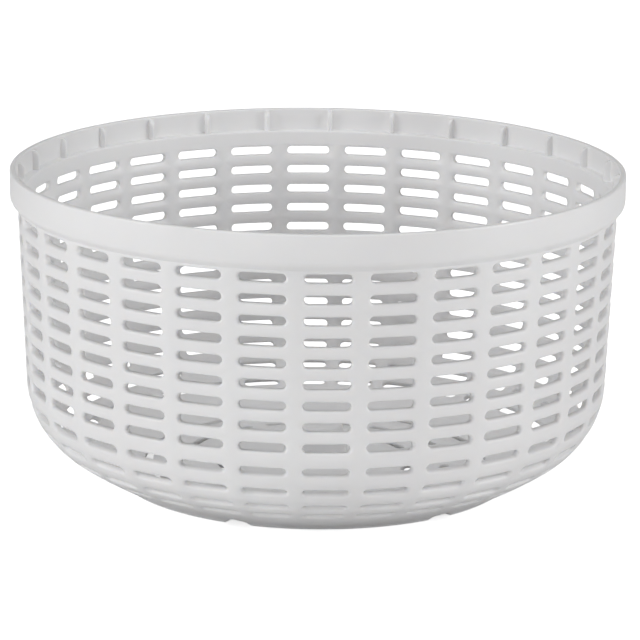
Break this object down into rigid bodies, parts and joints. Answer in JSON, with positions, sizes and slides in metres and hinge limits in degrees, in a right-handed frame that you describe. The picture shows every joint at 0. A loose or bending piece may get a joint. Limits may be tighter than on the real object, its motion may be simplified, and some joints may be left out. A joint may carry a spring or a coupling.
{
  "type": "salad spinner basket",
  "caption": "Round perforated basket of a salad spinner with a stepped rim, finned inner ledge, notched foot ring and a snap-in bearing cup that it spins on.",
  "frame": {"origin": "on the spin axis, in the plane that the foot ring stands on", "axes": "+Z along the spin axis, up to the open rim; -Y at the middle of a column of slots; +X to the right of it seen from -Y"},
  "size_m": [0.24, 0.24, 0.124],
  "materials": {
    "basket_plastic": "satin, slightly translucent moulded polypropylene",
    "bearing_plastic": "smooth natural acetal"
  },
  "bodies": {
    "bearing": {"pivot_bearing_cup": "bearing_plastic"},
    "basket": {"spinner_basket": "basket_plastic"}
  },
  "joints": [
    {"name": "basket_spin", "type": "hinge", "parent": "bearing", "child": "basket", "pos_m": [0, 0, 0.01], "axis": [0, 0, 1], "continuous": true}
  ]
}
